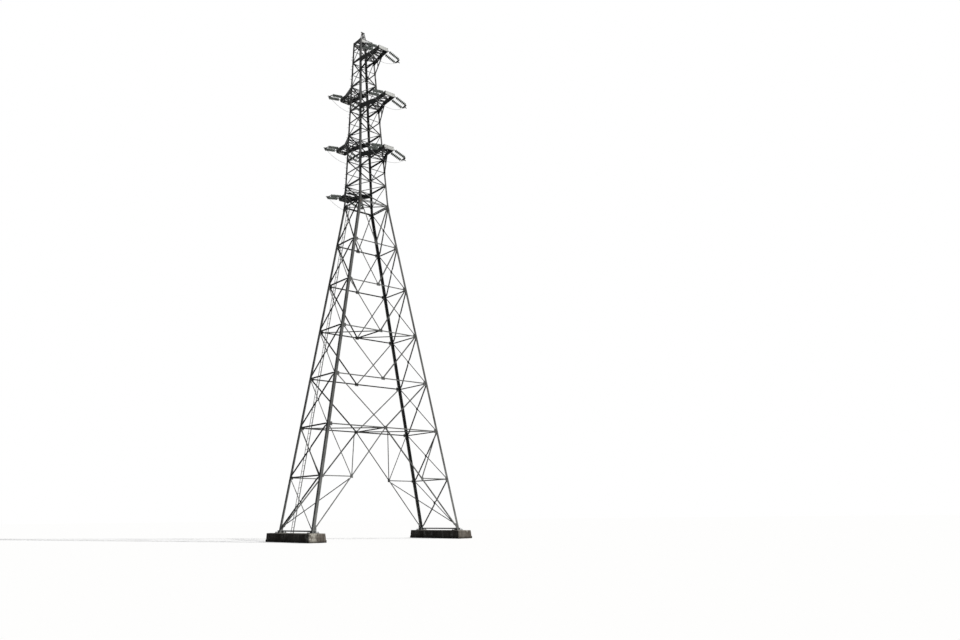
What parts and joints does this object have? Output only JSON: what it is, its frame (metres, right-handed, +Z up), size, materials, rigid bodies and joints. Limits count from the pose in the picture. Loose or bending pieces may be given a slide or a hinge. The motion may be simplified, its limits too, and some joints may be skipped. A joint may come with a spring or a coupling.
{
  "type": "lattice transmission pylon, 1:2 scale model",
  "caption": "Steel lattice power line tower on two concrete piers: braced tapering body, slim mast, staggered crossarms with insulator strings and an earth wire peak.",
  "frame": {"origin": "centre of the overall box on the level of the piers' undersides, midway between the two piers", "axes": "+Z up; +X from the left pier to the right one; +Y along the piers, the way the crossarms point; the pictured side is -Y"},
  "size_m": [9.67, 4.56, 27.73],
  "materials": {
    "concrete": "weathered, stained",
    "galvanised_steel": "weathered galvanised steel, dull",
    "porcelain": "pale grey-green glazed discs with dark metal caps",
    "aluminium_conductor": "stranded, dull"
  },
  "bodies": {
    "root": {"left_pier": "concrete", "right_pier": "concrete", "left_shoes": "galvanised_steel", "right_shoes": "galvanised_steel", "left_foot_strut": "galvanised_steel", "right_foot_strut": "galvanised_steel", "near_left_leg": "galvanised_steel", "near_right_leg": "galvanised_steel", "far_left_leg": "galvanised_steel", "far_right_leg": "galvanised_steel", "near_lower_girts": "galvanised_steel", "far_lower_girts": "galvanised_steel", "near_lower_diagonals": "galvanised_steel", "far_lower_diagonals": "galvanised_steel", "left_lower_lattice": "galvanised_steel", "right_lower_lattice": "galvanised_steel", "near_mast_lattice": "galvanised_steel", "far_mast_lattice": "galvanised_steel", "left_mast_lattice": "galvanised_steel", "right_mast_lattice": "galvanised_steel", "plan_bracing": "galvanised_steel", "hip_braces": "galvanised_steel", "ladder": "galvanised_steel", "earth_wire_peak": "galvanised_steel", "near_lower_arm": "galvanised_steel", "near_lower_strings": "porcelain", "near_lower_jumper": "aluminium_conductor", "near_middle_arm": "galvanised_steel", "near_middle_strings": "porcelain", "near_middle_jumper": "aluminium_conductor", "near_upper_arm": "galvanised_steel", "near_upper_strings": "porcelain", "near_upper_jumper": "aluminium_conductor", "far_lower_arm": "galvanised_steel", "far_lower_strings": "porcelain", "far_lower_jumper": "aluminium_conductor", "far_middle_arm": "galvanised_steel", "far_middle_strings": "porcelain", "far_middle_jumper": "aluminium_conductor", "far_upper_arm": "galvanised_steel", "far_upper_strings": "porcelain", "far_upper_jumper": "aluminium_conductor"}
  },
  "joints": []
}
